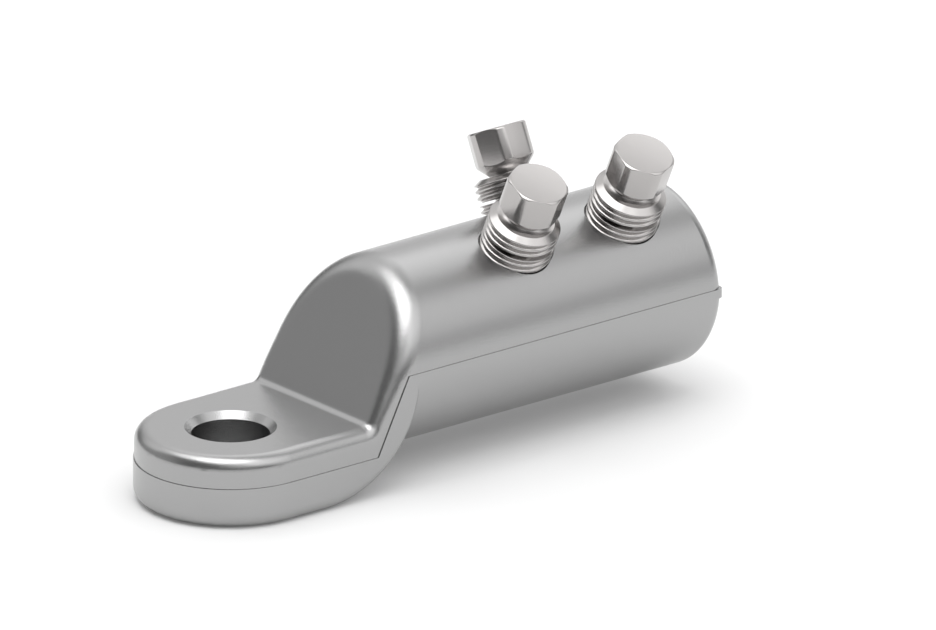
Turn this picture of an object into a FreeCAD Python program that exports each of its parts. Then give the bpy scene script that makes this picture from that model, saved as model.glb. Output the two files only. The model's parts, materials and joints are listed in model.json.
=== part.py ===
import FreeCAD, Part
import math
import os

from FreeCAD import Vector

# Shear bolt cable lug: a forged body with a flat palm and a blind barrel, and three shear bolts.
# Millimetres. X runs along the barrel from the palm to the cable entry, Z is up, and the origin
# is the centre of the stud hole on the palm's underside.

# Forged body
body_width = 41.4
palm_thickness = 16.1
barrel_axis_height = 24.9
mouth_x = 119.6
mouth_lean = 2.1
shoulder_foot_x = 22.6
shoulder_lean = 62.0
shoulder_foot_radius = 2.0
heel_end_x = 35.5

# Rounded edges of the forging
palm_edge_radius = 3.0
shoulder_side_radius = 4.0
shoulder_top_radius = 8.0
underside_edge_radius = 3.0
heel_edge_radius = 0.45
mouth_edge_radius = 2.75

# Land where the two forging dies met: below its upper edge the body is wider by its height
land_height = 0.22
land_width = 2.0
land_palm_height = 8.25
land_knee_x = 24.05
land_lean = 62.9
land_corner_radius = 1.5

# Stud hole and conductor bore
stud_hole_diameter = 17.0
stud_hole_chamfer = 1.5
bore_diameter = 26.0
bore_depth = 63.6
bore_point_angle = 118.0
bore_mouth_chamfer = 1.2

# Places of the bolts, which lean to the two sides of the barrel in turn
last_bolt_inset = 18.4
bolt_pitch = 14.65
bolt_tilt = 25.2
bolt_end_gap = 0.6

# Shear bolt
thread_diameter = 16.0
head_across_flats = 12.45
head_corner_diameter = 13.46
head_length = 7.3
head_top_chamfer = 0.55
head_cone_length = 2.65
neck_diameter = 8.5
neck_length = 0.15
collar_diameter = 12.8
collar_chamfer_length = 1.05
upper_section_length = 3.65
middle_section_length = 3.7
lower_section_length = 1.65
groove_width = 0.85
groove_root_diameter = 8.6
point_diameter = 12.0
point_length = 3.0
point_chamfer = 0.8

# Threaded holes in the barrel wall
bolt_hole_clearance = 0.05
countersink_depth = 0.95

# Steps from the bolt at the mouth, side that the bolt leans to, and angle of a corner of its hexagon
bolts = {
    "shear_bolt_front_palm_side": (2, 1, 27.0),
    "shear_bolt_rear_middle": (1, -1, 1.0),
    "shear_bolt_front_cable_side": (0, 1, 22.0),
}

barrel_radius = body_width / 2
lower_half_width = barrel_radius + land_height
head_height = head_length + head_cone_length + neck_length
shank_height = (
    collar_chamfer_length + upper_section_length + middle_section_length + lower_section_length
    + 2 * groove_width + point_length
)
bolt_top_height = bore_diameter / 2 + bolt_end_gap + shank_height + head_height
barrel_axis = Vector(0, 0, barrel_axis_height)
along = Vector(1, 0, 0)
up = Vector(0, 0, 1)
past = 1.0


def on_arc(centre, radius, angle):
    # A point in the plane of X and Z, at an angle in degrees from +X towards +Z.
    a = math.radians(angle)
    return centre + Vector(radius * math.cos(a), 0, radius * math.sin(a))


def arc(centre, radius, start, end):
    points = [on_arc(centre, radius, a) for a in (start, (start + end) / 2, end)]
    return Part.Arc(*points).toShape()


def line(start, end):
    return Part.makeLine(start, end)


def face_of(edges):
    return Part.Face(Part.Wire(edges))


def polygon(points):
    return Part.makePolygon(points + points[:1])


def turned(profile):
    # Revolves a closed list of (radius, height) about Z.
    face = Part.Face(polygon([Vector(r, 0, h) for r, h in profile]))
    return face.revolve(Vector(0, 0, 0), up, 360)


def find_edge(shape, start, end):
    # The number of the edge that joins two points, as the fillet feature counts edges.
    for number, edge in enumerate(shape.Edges, 1):
        ends = [v.Point for v in edge.Vertexes]
        if len(ends) == 2 and min(
            start.distanceToPoint(ends[0]) + end.distanceToPoint(ends[1]),
            start.distanceToPoint(ends[1]) + end.distanceToPoint(ends[0]),
        ) < 0.01:
            return number
    raise ValueError("no edge from %s to %s" % (start, end))


def fillet(shape, chain):
    # Rounds a chain of edges, each with its own radius at the start and at the end.
    document = FreeCAD.newDocument("rounding")
    base = document.addObject("Part::Feature", "base")
    base.Shape = shape
    feature = document.addObject("Part::Fillet", "fillet")
    feature.Base = base
    feature.Edges = [(find_edge(shape, a, b), r1, r2) for a, b, r1, r2 in chain]
    document.recompute()
    rounded = feature.Shape.copy()
    FreeCAD.closeDocument(document.Name)
    return rounded.Solids[0]


def shoulder_point(z):
    # Where the leaning shoulder face reaches a height, on the near side of the body.
    run = (z - palm_thickness) / math.tan(math.radians(shoulder_lean))
    return Vector(shoulder_foot_x + run, -barrel_radius, z)


def palm_half(half_width):
    # The palm and neck on the near side: a round-topped section, trimmed to the round end.
    side = -half_width
    half = math.sqrt(0.5) * half_width
    crown = Vector(0, 0, barrel_axis_height + half_width)
    spring = Vector(0, side, barrel_axis_height)
    top_arc = Part.Arc(spring, Vector(0, -half, barrel_axis_height + half), crown).toShape()
    section = face_of([
        top_arc,
        line(crown, Vector(0, 0, 0)),
        line(Vector(0, 0, 0), Vector(0, side, 0)),
        line(Vector(0, side, 0), spring),
    ])
    section.translate(along * side)
    stock = section.extrude(along * (heel_end_x + half_width))
    end_arc = Part.Arc(Vector(side, 0, 0), Vector(-half, -half, 0), Vector(0, side, 0)).toShape()
    far = Vector(heel_end_x + past, 0, 0)
    planform = face_of([
        end_arc,
        line(Vector(0, side, 0), far + Vector(0, side, 0)),
        line(far + Vector(0, side, 0), far),
        line(far, Vector(side, 0, 0)),
    ])
    stock = stock.common(planform.extrude(crown))
    return fillet(stock.cut(heel_cutter()), underside_chain(half_width))


def heel_cutter():
    # The underside curves up into the barrel in a quarter circle that ends at the barrel's axis.
    radius = barrel_axis_height
    start = Vector(heel_end_x - radius, 0, 0)
    end = Vector(heel_end_x, 0, radius)
    low = Vector(heel_end_x + past, 0, 0)
    high = Vector(heel_end_x + past, 0, radius)
    face = face_of([
        arc(start + up * radius, radius, -90, 0),
        line(end, high),
        line(high, low),
        line(low, start),
    ])
    return across(face)


def barrel_piece(side, width):
    # The near side of the barrel above (1) or below (-1) the land, with a mouth that leans back.
    # Its section is an arc from the land's edge, at this half width, to the top or the bottom.
    half = land_width / 2
    lift = (width ** 2 + half ** 2 - barrel_radius ** 2) / (2 * (barrel_radius - half))
    radius = barrel_radius + lift
    turn = (math.atan2(half + lift, width) + math.pi / 2) / 2
    begin = Vector(heel_start_of_barrel(), 0, barrel_axis_height)
    edge = begin + Vector(0, -width, side * half)
    middle = begin + Vector(0, -radius * math.cos(turn), side * (radius * math.sin(turn) - lift))
    pole = begin + Vector(0, 0, side * barrel_radius)
    inner = begin + Vector(0, 0, side * half)
    section = face_of([Part.Arc(edge, middle, pole).toShape(), line(pole, inner), line(inner, edge)])
    length = along * (mouth_x - begin.x)
    back = math.tan(math.radians(mouth_lean))
    rim_pole = pole + length - along * back * (barrel_radius - half)
    beyond = rim_pole + Vector(-back * past, 0, side * past)
    clear = along * (body_width + past)
    wedge = Part.Face(polygon([inner + length, beyond, beyond + clear, inner + length + clear]))
    stock = section.extrude(length).cut(across(wedge))
    return fillet(stock, [(edge + length, rim_pole, mouth_edge_radius, mouth_edge_radius)])


def heel_start_of_barrel():
    # Where the underside of the barrel meets the curve of the heel.
    radius = barrel_axis_height
    return heel_end_x - radius + math.sqrt(radius ** 2 - barrel_radius ** 2)


def across(face):
    # Extrudes a face that stands on the middle plane until it is clear of the near side.
    face.translate(Vector(0, past, 0))
    return face.extrude(Vector(0, -lower_half_width - 2 * past, 0))


def shoulder_cutter():
    # What lies above the palm and before the leaning face, with the concave foot.
    lean = math.radians(shoulder_lean)
    tangent = shoulder_foot_radius * math.tan(lean / 2)
    foot = Vector(shoulder_foot_x, 0, palm_thickness)
    uphill = Vector(math.cos(lean), 0, math.sin(lean))
    foot_start = foot - along * tangent
    foot_end = foot + uphill * tangent
    top = foot + uphill * 2 * body_width
    corner = Vector(-body_width, 0, top.z)
    low = Vector(-body_width, 0, palm_thickness)
    face = face_of([
        line(low, foot_start),
        arc(foot_start + up * shoulder_foot_radius, shoulder_foot_radius, -90, shoulder_lean - 90),
        line(foot_end, top),
        line(top, corner),
        line(corner, low),
    ])
    return across(face)


def underside_chain(half_width):
    side = -half_width
    start = Vector(heel_end_x - barrel_axis_height, side, 0)
    end = Vector(heel_end_x, side, barrel_axis_height)
    corner = Vector(0, side, 0)
    r = underside_edge_radius
    return [
        (corner, Vector(side, 0, 0), r, r),
        (corner, start, r, r),
        (start, end, r, heel_edge_radius),
    ]


def top_chain():
    side = -barrel_radius
    tangent = shoulder_foot_radius * math.tan(math.radians(shoulder_lean) / 2)
    lean = math.radians(shoulder_lean)
    corner = Vector(0, side, palm_thickness)
    foot_start = Vector(shoulder_foot_x - tangent, side, palm_thickness)
    foot_end = foot_start + Vector(tangent * (1 + math.cos(lean)), 0, tangent * math.sin(lean))
    spring = shoulder_point(barrel_axis_height)
    crown = shoulder_point(barrel_axis_height + barrel_radius) - Vector(0, side, 0)
    r = palm_edge_radius
    return [
        (corner, Vector(side, 0, palm_thickness), r, r),
        (corner, foot_start, r, r),
        (foot_start, foot_end, r, r),
        (foot_end, spring, shoulder_side_radius, r),
        (spring, crown, shoulder_top_radius, shoulder_side_radius),
    ]


def below_land():
    # The room below the land's upper edge, on the near side of the body.
    low = land_palm_height + land_width / 2
    high = barrel_axis_height + land_width / 2
    bend_x = land_knee_x + (high - low) / math.tan(math.radians(land_lean))
    outline = [
        (-body_width, -past),
        (mouth_x + past, -past),
        (mouth_x + past, high),
        (bend_x, high),
        (land_knee_x, low),
        (-body_width, low),
    ]
    return across(Part.Face(polygon([Vector(x, 0, z) for x, z in outline])))


def land_bar():
    # The land along the barrel, from inside the neck up to a round corner at the mouth.
    side = -lower_half_width
    r = land_corner_radius
    middle = r * math.sqrt(0.5)
    turn_start = Vector(mouth_x - r, side, 0)
    turn_middle = Vector(mouth_x - r + middle, side + r - middle, 0)
    turn_end = Vector(mouth_x, side + r, 0)
    plan = face_of([
        Part.Arc(turn_start, turn_middle, turn_end).toShape(),
        line(turn_end, Vector(mouth_x, 0, 0)),
        line(Vector(mouth_x, 0, 0), Vector(land_knee_x, 0, 0)),
        line(Vector(land_knee_x, 0, 0), Vector(land_knee_x, side, 0)),
        line(Vector(land_knee_x, side, 0), turn_start),
    ])
    plan.translate(up * (barrel_axis_height - land_width / 2))
    return plan.extrude(up * land_width)


def stud_hole():
    radius = stud_hole_diameter / 2
    c = stud_hole_chamfer
    return turned([
        (0, -past),
        (radius, -past),
        (radius, palm_thickness - c),
        (radius + c + past, palm_thickness + past),
        (0, palm_thickness + past),
    ])


def conductor_bore():
    # Blind, with a drill point at the inner end and a chamfered mouth.
    radius = bore_diameter / 2
    c = bore_mouth_chamfer
    point = radius / math.tan(math.radians(bore_point_angle / 2))
    bore_end_x = mouth_x - bore_depth
    cutter = turned([
        (0, bore_end_x - point),
        (radius, bore_end_x),
        (radius, mouth_x - c),
        (radius + c + past, mouth_x + past),
        (0, mouth_x + past),
    ])
    cutter.rotate(Vector(0, 0, 0), Vector(0, 1, 0), 90)
    cutter.translate(barrel_axis)
    return cutter


def seat(shape, place, lean):
    # Stands a shape built about Z on the barrel's axis, at its bolt's lean and place from the mouth.
    shape.rotate(Vector(0, 0, 0), along, lean * bolt_tilt)
    shape.translate(barrel_axis + along * (mouth_x - last_bolt_inset - place * bolt_pitch))
    return shape


def bolt_hole(place, lean):
    radius = thread_diameter / 2 + bolt_hole_clearance
    top = barrel_radius + 2 * past
    countersink_start = barrel_radius - countersink_depth
    return seat(turned([
        (0, 0),
        (radius, 0),
        (radius, countersink_start),
        (radius + top - countersink_start, top),
        (0, top),
    ]), place, lean)


def lug_body():
    upper_side = math.sqrt(barrel_radius ** 2 - (land_width / 2) ** 2)
    blank = palm_half(barrel_radius).fuse(barrel_piece(1, upper_side)).removeSplitter()
    upper = fillet(blank.cut(shoulder_cutter()).Solids[0], top_chain())
    lower = palm_half(lower_half_width)
    lower = lower.fuse([barrel_piece(-1, lower_half_width), land_bar()])
    half = upper.fuse(lower.common(below_land()))
    body = half.fuse(half.mirror(Vector(0, 0, 0), Vector(0, 1, 0))).removeSplitter()
    holes = [stud_hole(), conductor_bore()]
    holes += [bolt_hole(place, lean) for place, lean, corner in bolts.values()]
    for hole in holes:
        body = body.cut(hole)
    return body.Solids[0]


def bolt_head(corner):
    # A hexagon with turned corners, a chamfered top and a cone down to the shear neck.
    top = bolt_top_height
    radius = head_corner_diameter / 2
    c = head_top_chamfer
    cone = top - head_length
    blank = turned([
        (0, top),
        (radius - c, top),
        (radius, top - c * 0.7),
        (radius, cone),
        (neck_diameter / 2, cone - head_cone_length),
        (neck_diameter / 2, cone - head_cone_length - neck_length - past),
        (0, cone - head_cone_length - neck_length - past),
    ])
    circle = head_across_flats / math.sqrt(3)
    spin = [math.radians(corner + 60 * i) for i in range(6)]
    points = [Vector(circle * math.cos(a), circle * math.sin(a), 0) for a in spin]
    hexagon = Part.Face(polygon(points)).extrude(up * (top + past))
    return blank.common(hexagon)


def bolt_shank():
    # Threaded sections parted by shear grooves, over a plain point.
    thread = thread_diameter / 2
    root = groove_root_diameter / 2
    collar = bolt_top_height - head_height
    upper = collar - collar_chamfer_length
    profile = [
        (0, collar),
        (collar_diameter / 2, collar),
        (thread, upper),
    ]
    z = upper
    for length in (upper_section_length, middle_section_length):
        z -= length
        profile += [
            (thread, z),
            (root, z),
            (root, z - groove_width),
            (thread, z - groove_width),
        ]
        z -= groove_width
    z -= lower_section_length
    point = point_diameter / 2
    profile += [
        (thread, z),
        (point, z),
        (point, z - point_length + point_chamfer),
        (point - point_chamfer, z - point_length),
        (0, z - point_length),
    ]
    return turned(profile)


def shear_bolt(place, lean, corner):
    return seat(bolt_shank().fuse(bolt_head(corner)).removeSplitter(), place, lean)


def save(shape, name):
    print(name, len(shape.Solids), "solid", len(shape.Faces), "faces", round(shape.Volume, 1), "mm3",
          "sound" if shape.isValid() else "broken")
    shape.exportStep("parts/" + name + ".step")


os.makedirs("parts", exist_ok=True)
save(lug_body(), "lug_body")
for bolt_name, (bolt_place, bolt_lean, bolt_corner) in bolts.items():
    save(shear_bolt(bolt_place, bolt_lean, bolt_corner), bolt_name)
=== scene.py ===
import json
import math

import bmesh
import bpy
from mathutils import Matrix, Vector


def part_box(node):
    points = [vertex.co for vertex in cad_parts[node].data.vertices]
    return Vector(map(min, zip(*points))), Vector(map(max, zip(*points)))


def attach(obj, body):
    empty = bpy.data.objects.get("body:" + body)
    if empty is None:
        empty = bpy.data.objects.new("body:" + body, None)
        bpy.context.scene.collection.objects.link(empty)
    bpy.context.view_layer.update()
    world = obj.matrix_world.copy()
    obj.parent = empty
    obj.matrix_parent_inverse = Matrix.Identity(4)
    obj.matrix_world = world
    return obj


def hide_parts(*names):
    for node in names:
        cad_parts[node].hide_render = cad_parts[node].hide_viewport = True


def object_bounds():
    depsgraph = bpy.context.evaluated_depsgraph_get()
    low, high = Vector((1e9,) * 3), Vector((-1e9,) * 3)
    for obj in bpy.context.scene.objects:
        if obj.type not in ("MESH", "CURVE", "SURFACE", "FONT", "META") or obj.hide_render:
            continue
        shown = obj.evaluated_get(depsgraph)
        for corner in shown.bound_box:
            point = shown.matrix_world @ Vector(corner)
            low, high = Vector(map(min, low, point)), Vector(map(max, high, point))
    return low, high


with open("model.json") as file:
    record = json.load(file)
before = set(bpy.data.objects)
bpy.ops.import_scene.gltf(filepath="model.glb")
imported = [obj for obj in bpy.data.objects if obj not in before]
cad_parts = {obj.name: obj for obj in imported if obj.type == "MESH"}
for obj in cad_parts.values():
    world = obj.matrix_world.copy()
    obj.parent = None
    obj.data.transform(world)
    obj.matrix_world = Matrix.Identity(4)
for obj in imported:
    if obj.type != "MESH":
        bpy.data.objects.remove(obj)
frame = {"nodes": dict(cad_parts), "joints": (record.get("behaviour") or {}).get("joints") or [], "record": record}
cadBox = [list(corner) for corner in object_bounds()]
print("frame loaded with", len(frame["nodes"]), "nodes")

mm = 0.001
white = (1, 1, 1, 1)
scene = bpy.context.scene
scene.view_settings.view_transform = "Standard"
mounts = {mount["name"]: mount for mount in frame["record"]["mounts"]}


# Node trees

def feed(tree, socket, value):
    # Links the socket to another one, or sets it to a plain value.
    if isinstance(value, bpy.types.NodeSocket):
        tree.links.new(value, socket)
    else:
        socket.default_value = value


def addNode(tree, kind, settings=None, inputs=None):
    node = tree.nodes.new(kind)
    for name, value in (settings or {}).items():
        setattr(node, name, value)
    for name, value in (inputs or {}).items():
        feed(tree, node.inputs[name], value)
    return node


def calculate(tree, operation, a, b=0.0):
    node = addNode(tree, "ShaderNodeMath", {"operation": operation})
    feed(tree, node.inputs[0], a)
    feed(tree, node.inputs[1], b)
    return node.outputs[0]


def addNoise(tree, coords, size, detail, roughness=0.5):
    inputs = {"Vector": coords, "Scale": 1 / size, "Detail": detail, "Roughness": roughness}
    return addNode(tree, "ShaderNodeTexNoise", None, inputs).outputs["Fac"]


def addBump(tree, height, depth, under=None):
    inputs = {"Height": height, "Distance": depth}
    if under:
        inputs["Normal"] = under
    return addNode(tree, "ShaderNodeBump", None, inputs).outputs["Normal"]


def addMetal(tree, colour, roughness, normal):
    inputs = {"Base Color": colour, "Metallic": 1.0, "Roughness": roughness, "Normal": normal}
    metal = addNode(tree, "ShaderNodeBsdfPrincipled", None, inputs)
    addNode(tree, "ShaderNodeOutputMaterial", None, {"Surface": metal.outputs["BSDF"]})


def newMaterial(name):
    material = bpy.data.materials.new(name)
    material.use_nodes = True
    material.node_tree.nodes.clear()
    return material, material.node_tree


# Tin plating on the shot-blasted forging

forgingFinish = {
    "tint": (0.39, 0.39, 0.39),
    "tintVariation": 0.05,
    "cloudSize": 90 * mm,  # how broad the lighter and darker clouds in the tint are
    "roughness": 0.27,
    "grainSize": 0.30 * mm,
    "grainDepth": 0.024 * mm,
    "dimpleSize": 2.2 * mm,
    "dimpleDepth": 0.006 * mm,
}


def makeForgingMaterial(finish):
    material, tree = newMaterial("tinned forging")
    coords = addNode(tree, "ShaderNodeTexCoord").outputs["Object"]
    darkest = [c * (1 - finish["tintVariation"]) for c in finish["tint"]] + [1]
    lightest = [c * (1 + finish["tintVariation"]) for c in finish["tint"]] + [1]
    clouds = addNoise(tree, coords, finish["cloudSize"], detail=3.0)
    tint = addNode(tree, "ShaderNodeMix", {"data_type": "RGBA"},
                   {"Factor": clouds, "A": darkest, "B": lightest})
    grain = addNoise(tree, coords, finish["grainSize"], detail=2.0, roughness=0.6)
    dimples = addNoise(tree, coords, finish["dimpleSize"], detail=1.0)
    fine = addBump(tree, grain, finish["grainDepth"])
    broad = addBump(tree, dimples, finish["dimpleDepth"], under=fine)
    addMetal(tree, tint.outputs["Result"], finish["roughness"], broad)
    return material


# Tin plating on the turned bolts

boltFinish = {
    "tint": (0.47, 0.455, 0.448),
    "roughness": 0.21,
    "grainSize": 0.6 * mm,
    "grainDepth": 0.004 * mm,
}


def makeBoltMaterial(finish):
    material, tree = newMaterial("tinned bolt")
    coords = addNode(tree, "ShaderNodeTexCoord").outputs["Object"]
    grain = addNoise(tree, coords, finish["grainSize"], detail=2.0)
    addMetal(tree, (*finish["tint"], 1), finish["roughness"], addBump(tree, grain, finish["grainDepth"]))
    return material


forgingMaterial = makeForgingMaterial(forgingFinish)
boltMaterial = makeBoltMaterial(boltFinish)
print("materials made")


# Lug body: the forging's own surfaces, merged, with the normals that the CAD gave them

lug = {
    "mergeDistance": 0.002 * mm,  # points of the loose triangles nearer than this are one
}


def makeLugBody():
    node = frame["nodes"]["lug_body"]
    mesh = bmesh.new()
    mesh.from_mesh(node.data)
    given = mesh.loops.layers.float_vector.new("given")  # carries each corner's normal through the merge
    for face, polygon in zip(mesh.faces, node.data.polygons):
        face.smooth = True
        for loop, index in zip(face.loops, polygon.loop_indices):
            loop[given] = node.data.corner_normals[index].vector
    bmesh.ops.remove_doubles(mesh, verts=mesh.verts, dist=lug["mergeDistance"])
    data = bpy.data.meshes.new("lug")
    mesh.to_mesh(data)
    mesh.free()
    normals = [Vector(corner.vector) for corner in data.attributes["given"].data]
    data.attributes.remove(data.attributes["given"])
    data.normals_split_custom_set(normals)
    data.materials.clear()
    data.materials.append(forgingMaterial)
    body = bpy.data.objects.new("lug", data)
    scene.collection.objects.link(body)
    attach(body, "body")
    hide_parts("lug_body")
    return body


lugBody = makeLugBody()
print("lug body", len(lugBody.data.polygons), "faces")


# Shear bolts: a turned blank with a hexagon, then a thread cut into it

bolt = {
    # lengths and diameters in millimetres, from the top of the head down
    "acrossFlats": 12.45,
    "cornerDiameter": 13.46,
    "headLength": 7.3,
    "topChamferWidth": 0.55,
    "topChamferDrop": 0.38,
    "coneLength": 2.65,
    "neckDiameter": 8.5,
    "neckLength": 0.15,
    "collarDiameter": 12.8,
    "collarLength": 1.05,
    "collarGap": 0.1,  # left uncut below the collar
    "sectionLengths": (3.75, 3.95, 1.7),
    "grooveWidth": 0.65,
    "grooveDiameter": 8.6,
    "pointDiameter": 12.0,
    "pointLength": 3.0,
    "pointChamfer": 0.8,
    "threadDiameter": 16.0,
    "threadPitch": 1.5,
    "threadDepth": 0.85,
    "crestShare": 0.26,  # shares of the pitch that stay flat at the crest and at the root
    "rootShare": 0.08,
    # how far its edges are rounded, and how finely the blank is divided
    "edgeRadius": 0.16,
    "edgeSteps": 3,
    "sides": 96,
    "flatEdgeOffset": 0.5,  # degrees to each side of an edge of a flat
    "threadStep": 0.09,
}
boltPlaces = {
    # degrees about the bolt's own axis: a corner of the hexagon, and the start of the thread
    "shear_bolt_front_palm_side": {"corner": 27.0, "threadStart": 210.0},
    "shear_bolt_rear_middle": {"corner": 1.0, "threadStart": 80.0},
    "shear_bolt_front_cable_side": {"corner": 22.0, "threadStart": 210.0},
}

# depths below the top of the head
coneFoot = bolt["headLength"] + bolt["coneLength"]
neckFoot = coneFoot + bolt["neckLength"]
collarFoot = neckFoot + bolt["collarLength"]


def hexagonRadius(angle, corner):
    turn = (angle - corner) % 60 - 30  # from the middle of the nearest flat
    return bolt["acrossFlats"] / 2 / math.cos(math.radians(turn))


def boltAngles(corner):
    # Even steps, and a close pair on each side of the edges between a flat and a turned corner.
    half = math.degrees(math.acos(bolt["acrossFlats"] / bolt["cornerDiameter"]))
    edges = [corner + 30 + 60 * i + side * half for i in range(6) for side in (-1, 1)]
    close = [edge + side * bolt["flatEdgeOffset"] for edge in edges for side in (-1, 1)]
    step = 360 / bolt["sides"]
    room = 0.4 * step  # an even step nearer than this to a close pair is left out
    even = [i * step for i in range(bolt["sides"])]
    clear = [a for a in even if min(abs((a - b + 180) % 360 - 180) for b in close) > room]
    return sorted(a % 360 for a in clear + close)


def headOutline(side):
    # Corners of the head's profile, as (radius, depth below the top), for one side radius.
    full = bolt["cornerDiameter"] / 2
    top = full - bolt["topChamferWidth"]
    neck = bolt["neckDiameter"] / 2
    edge = max(side - top, 0.0) * bolt["topChamferDrop"] / bolt["topChamferWidth"]
    cone = bolt["headLength"] + (full - side) * bolt["coneLength"] / (full - neck)
    return [(0.0, 0.0), (top, 0.0), (side, edge), (side, cone), (neck, coneFoot)]


def shankOutline():
    # Corners of the shank's profile, from the neck to the point.
    thread = bolt["threadDiameter"] / 2
    root = bolt["grooveDiameter"] / 2
    point = bolt["pointDiameter"] / 2
    corners = [
        (bolt["neckDiameter"] / 2, neckFoot),
        (bolt["collarDiameter"] / 2, neckFoot),
        (thread, collarFoot),
    ]
    depth = collarFoot
    for length in bolt["sectionLengths"][:-1]:
        depth += length
        corners += [(thread, depth), (root, depth)]
        depth += bolt["grooveWidth"]
        corners += [(root, depth), (thread, depth)]
    depth += bolt["sectionLengths"][-1]
    end = depth + bolt["pointLength"]
    corners += [
        (thread, depth),
        (point, depth),
        (point, end - bolt["pointChamfer"]),
        (point - bolt["pointChamfer"], end),
        (0.0, end),
    ]
    return corners


def softened(corners):
    # Rounds each inner corner of a profile with the same number of points.
    most = 0.4  # share of a run that one rounding may take
    steps = bolt["edgeSteps"]
    points = [Vector(c) for c in corners]
    line = [points[0]]
    for before, here, after in zip(points, points[1:], points[2:]):
        back = before - here
        ahead = after - here
        reach = min(bolt["edgeRadius"], most * back.length, most * ahead.length)
        start = here + back.normalized() * reach
        end = here + ahead.normalized() * reach
        for i in range(steps + 1):
            t = i / steps
            line.append(start * (1 - t) ** 2 + here * 2 * t * (1 - t) + end * t ** 2)
    line.append(points[-1])
    return line


def threadRows(line):
    # Adds rows to the long stretches at or near the thread's radius, fine enough to cut into.
    rows = [line[0]]
    nearThread = bolt["threadDiameter"] / 2 - bolt["threadDepth"]
    for a, b in zip(line, line[1:]):
        cutHere = max(a.x, b.x) > nearThread and abs(b.y - a.y) > bolt["threadStep"]
        count = math.ceil((b - a).length / bolt["threadStep"]) if cutHere else 1
        rows += [a.lerp(b, i / count) for i in range(1, count + 1)]
    return rows


def makeBlank(name, corner):
    # The bolt before its thread is cut, about Z with the top of its head at zero.
    shank = threadRows(softened(shankOutline()))
    columns = []
    for angle in boltAngles(corner):
        side = min(bolt["cornerDiameter"] / 2, hexagonRadius(angle, corner))
        turn = math.radians(angle)
        line = softened(headOutline(side)) + shank
        columns.append([(p.x * math.cos(turn), p.x * math.sin(turn), -p.y) for p in line])
    verts = [columns[0][0]] + [v for column in columns for v in column[1:-1]] + [columns[0][-1]]
    inner = len(columns[0]) - 2
    last = len(verts) - 1
    faces = []
    for i in range(len(columns)):
        a = 1 + i * inner
        b = 1 + (i + 1) % len(columns) * inner
        faces.append((0, a, b))
        faces += [(a + k, a + k + 1, b + k + 1, b + k) for k in range(inner - 1)]
        faces.append((a + inner - 1, last, b + inner - 1))
    data = bpy.data.meshes.new(name)
    data.from_pydata([Vector(v) * mm for v in verts], [], faces)
    data.shade_smooth()
    blank = bpy.data.objects.new(name, data)
    scene.collection.objects.link(blank)
    return blank


def threadInputs(start):
    # What the thread's node tree takes: metres, shares of the pitch and a share of a turn.
    return {
        "Pitch": bolt["threadPitch"] * mm,
        "Radius": bolt["threadDiameter"] / 2 * mm,
        "Depth": bolt["threadDepth"] * mm,
        "Crest Share": bolt["crestShare"],
        "Root Share": bolt["rootShare"],
        "Start": start / 360,
        "Top": -(collarFoot + bolt["collarGap"]) * mm,
    }


def makeThreadTree():
    # Moves points in to the thread's flanks wherever the blank stands out past them.
    tree = bpy.data.node_groups.new("cutThread", "GeometryNodeTree")
    tree.interface.new_socket("Blank", in_out="INPUT", socket_type="NodeSocketGeometry")
    for name, value in threadInputs(0.0).items():
        socket = tree.interface.new_socket(name, in_out="INPUT", socket_type="NodeSocketFloat")
        socket.default_value = value
    tree.interface.new_socket("Material", in_out="INPUT", socket_type="NodeSocketMaterial")
    tree.interface.new_socket("Bolt", in_out="OUTPUT", socket_type="NodeSocketGeometry")
    given = addNode(tree, "NodeGroupInput").outputs
    place = addNode(tree, "ShaderNodeSeparateXYZ", None,
                    {"Vector": addNode(tree, "GeometryNodeInputPosition").outputs[0]}).outputs
    x, y, z = place["X"], place["Y"], place["Z"]
    squares = calculate(tree, "ADD", calculate(tree, "MULTIPLY", x, x), calculate(tree, "MULTIPLY", y, y))
    radius = calculate(tree, "SQRT", squares)
    turn = calculate(tree, "DIVIDE", calculate(tree, "ARCTAN2", y, x), 2 * math.pi)
    rise = calculate(tree, "SUBTRACT", calculate(tree, "DIVIDE", z, given["Pitch"]), turn)
    phase = calculate(tree, "FRACT", calculate(tree, "ADD", rise, given["Start"]))
    offCrest = calculate(tree, "ABSOLUTE", calculate(tree, "SUBTRACT", phase, 0.5))
    flank = addNode(tree, "ShaderNodeMapRange", None, {
        "Value": calculate(tree, "MULTIPLY", offCrest, 2.0),
        "From Min": given["Crest Share"],
        "From Max": calculate(tree, "SUBTRACT", 1.0, given["Root Share"]),
        "To Min": 0.0,
        "To Max": given["Depth"],
    }).outputs["Result"]
    cut = calculate(tree, "MINIMUM", radius, calculate(tree, "SUBTRACT", given["Radius"], flank))
    inside = calculate(tree, "LESS_THAN", z, given["Top"])
    outside = calculate(tree, "SUBTRACT", 1.0, inside)
    wanted = calculate(tree, "ADD", calculate(tree, "MULTIPLY", inside, cut),
                       calculate(tree, "MULTIPLY", outside, radius))
    least = 1e-9  # keeps the division off zero for points on the axis
    scale = calculate(tree, "DIVIDE", wanted, calculate(tree, "MAXIMUM", radius, least))
    moved = addNode(tree, "ShaderNodeCombineXYZ", None, {
        "X": calculate(tree, "MULTIPLY", x, scale),
        "Y": calculate(tree, "MULTIPLY", y, scale),
        "Z": z,
    })
    shaped = addNode(tree, "GeometryNodeSetPosition", None,
                     {"Geometry": given["Blank"], "Position": moved.outputs[0]})
    real = addNode(tree, "GeometryNodeRealizeInstances", None, {"Geometry": shaped.outputs[0]})
    painted = addNode(tree, "GeometryNodeSetMaterial", None,
                      {"Geometry": real.outputs[0], "Material": given["Material"]})
    addNode(tree, "NodeGroupOutput", None, {"Bolt": painted.outputs[0]})
    return tree


threadTree = makeThreadTree()


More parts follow.
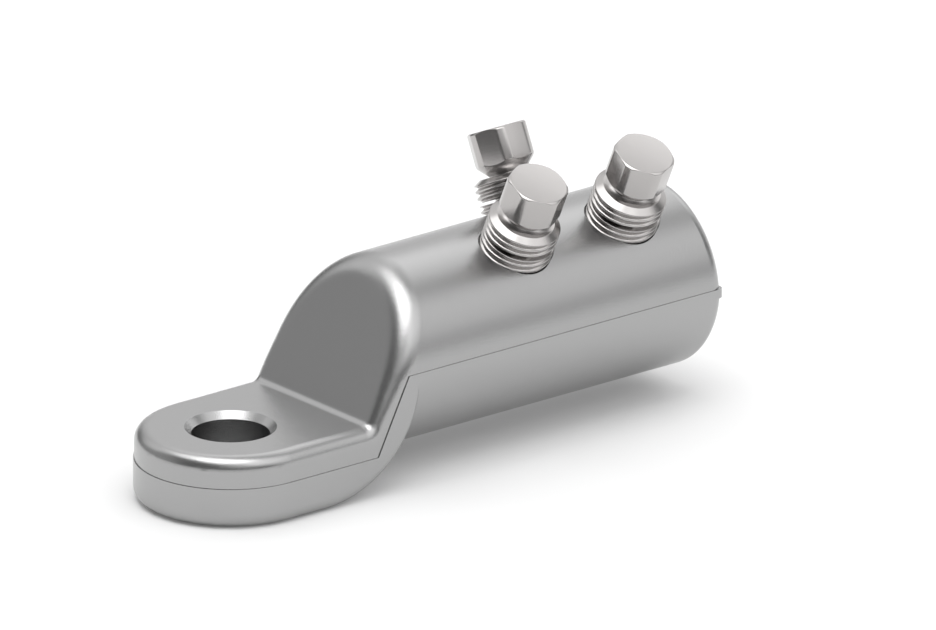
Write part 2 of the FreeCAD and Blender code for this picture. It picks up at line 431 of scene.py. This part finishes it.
def makePlain(piece):
    # Turns the evaluated piece into a plain mesh and takes its modifiers off.
    bpy.context.view_layer.update()
    graph = bpy.context.evaluated_depsgraph_get()
    plain = bpy.data.meshes.new_from_object(piece.evaluated_get(graph),
                                            preserve_all_data_layers=True, depsgraph=graph)
    piece.modifiers.clear()
    piece.data = plain


def cutThread(blank, start):
    values = {**threadInputs(start), "Material": boltMaterial}
    cutter = blank.modifiers.new("thread", "NODES")
    cutter.node_group = threadTree
    for item in threadTree.interface.items_tree:
        if item.in_out == "INPUT" and item.name in values:
            cutter[item.identifier] = values[item.name]
    makePlain(blank)


def makeShearBolt(node, place):
    name = node.replace("shear_bolt", "bolt")
    joint = next(j for j in frame["joints"] if j["child"] == name)
    axis = Vector(joint["axis"]).normalized()
    low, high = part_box(node)
    bore = Vector(mounts["conductor_bore"]["pos_m"])
    foot = Vector(((low.x + high.x) / 2, bore.y, bore.z))  # where the bolt's axis meets the bore's
    top = max((v.co - foot).dot(axis) for v in frame["nodes"][node].data.vertices)
    blank = makeBlank(name, place["corner"])
    cutThread(blank, place["threadStart"])
    along = Vector((1, 0, 0))
    turn = Matrix((along, axis.cross(along), axis)).transposed().to_4x4()
    blank.data.transform(Matrix.Translation(foot + axis * top) @ turn)
    blank.data.update()
    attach(blank, joint["child"])
    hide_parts(node)
    return blank


for node, place in boltPlaces.items():
    piece = makeShearBolt(node, place)
    print(piece.name, len(piece.data.polygons), "faces")


# Studio: a white floor in a dim room with soft panels of light

studio = {
    "floorSize": 6.0,  # metres, edge to edge
    "floorColour": (0.80, 0.80, 0.80),
    "floorGlow": 0.09,
    "ambient": 0.18,
    # each panel: azimuth from +X and elevation in degrees, where it is full and where it ends, level
    "panels": {
        "overhead left": {"at": (215, 74), "full": 11, "end": 27, "level": 3.1},
        "overhead back": {"at": (130, 70), "full": 8, "end": 24, "level": 1.8},
        "overhead right": {"at": (28, 50), "full": 10, "end": 32, "level": 0.85},
        "front left": {"at": (245, 40), "full": 10, "end": 30, "level": 0.60},
        "front": {"at": (292, 46), "full": 6, "end": 40, "level": 1.35},
        "front horizon": {"at": (310, 2), "full": 12, "end": 28, "level": 0.50},
        "right": {"at": (28, 12), "full": 25, "end": 50, "level": 0.72},
        "back": {"at": (92, 43), "full": 8, "end": 34, "level": 0.85},
        "back left": {"at": (130, 10), "full": 15, "end": 45, "level": 0.30},
    },
}


def towards(azimuth, elevation):
    a = math.radians(azimuth)
    e = math.radians(elevation)
    return Vector((math.cos(a) * math.cos(e), math.sin(a) * math.cos(e), math.sin(e)))


def makeFloor():
    # Takes the object's shadow, and glows a little for the camera, gloss and glass.
    material, tree = newMaterial("floor")
    light = addNode(tree, "ShaderNodeLightPath").outputs
    mirrored = calculate(tree, "MAXIMUM", light["Is Glossy Ray"], light["Is Transmission Ray"])
    seen = calculate(tree, "MAXIMUM", light["Is Camera Ray"], mirrored)
    strength = calculate(tree, "MULTIPLY", seen, studio["floorGlow"])
    glow = addNode(tree, "ShaderNodeEmission", None, {"Color": white, "Strength": strength})
    plain = addNode(tree, "ShaderNodeBsdfDiffuse", None, {"Color": (*studio["floorColour"], 1)})
    both = addNode(tree, "ShaderNodeAddShader")
    feed(tree, both.inputs[0], plain.outputs[0])
    feed(tree, both.inputs[1], glow.outputs[0])
    addNode(tree, "ShaderNodeOutputMaterial", None, {"Surface": both.outputs[0]})
    half = studio["floorSize"] / 2
    level = cadBox[0][2]
    corners = [(x, y, level) for x, y in ((-half, -half), (half, -half), (half, half), (-half, half))]
    data = bpy.data.meshes.new("floor")
    data.from_pydata(corners, [], [(0, 1, 2, 3)])
    data.materials.append(material)
    floor = bpy.data.objects.new("floor", data)
    scene.collection.objects.link(floor)


def makeRoom():
    # The camera sees the room as white, and the object sees the ambient light and the panels.
    world = bpy.data.worlds.new("room")
    world.use_nodes = True
    tree = world.node_tree
    tree.nodes.clear()
    direction = addNode(tree, "ShaderNodeTexCoord").outputs["Generated"]
    level = studio["ambient"]
    for panel in studio["panels"].values():
        facing = addNode(tree, "ShaderNodeVectorMath", {"operation": "DOT_PRODUCT"})
        feed(tree, facing.inputs[0], direction)
        feed(tree, facing.inputs[1], towards(*panel["at"]))
        patch = addNode(tree, "ShaderNodeMapRange", {"interpolation_type": "SMOOTHSTEP"}, {
            "Value": facing.outputs["Value"],
            "From Min": math.cos(math.radians(panel["end"])),
            "From Max": math.cos(math.radians(panel["full"])),
            "To Min": 0.0,
            "To Max": panel["level"],
        })
        level = calculate(tree, "ADD", patch.outputs["Result"], level)
    camera = addNode(tree, "ShaderNodeLightPath").outputs["Is Camera Ray"]
    level = calculate(tree, "MAXIMUM", level, camera)
    sky = addNode(tree, "ShaderNodeBackground", None, {"Color": white, "Strength": level})
    addNode(tree, "ShaderNodeOutputWorld", None, {"Surface": sky.outputs[0]})
    scene.world = world


# Camera: a long view without perspective, on the photograph's line of sight

view = {
    "azimuth": 39.02,
    "elevation": 20.30,
    "width": 200.90 * mm,
    "target": (61.46 * mm, -5.13 * mm, 28.73 * mm),
    "distance": 0.9,  # these three in metres
    "nearest": 0.01,
    "farthest": 10,
}


def makeCamera():
    a = math.radians(view["azimuth"])
    e = math.radians(view["elevation"])
    back = Vector((-math.sin(a) * math.cos(e), -math.cos(a) * math.cos(e), math.sin(e)))
    right = Vector((math.cos(a), -math.sin(a), 0))
    turn = Matrix((right, back.cross(right), back)).transposed()
    data = bpy.data.cameras.new("camera")
    data.type = "ORTHO"
    data.ortho_scale = view["width"]
    data.clip_start = view["nearest"]
    data.clip_end = view["farthest"]
    camera = bpy.data.objects.new("camera", data)
    camera.location = Vector(view["target"]) + back * view["distance"]
    camera.rotation_euler = turn.to_euler()
    scene.collection.objects.link(camera)
    scene.camera = camera


makeFloor()
makeRoom()
makeCamera()
print("studio ready")
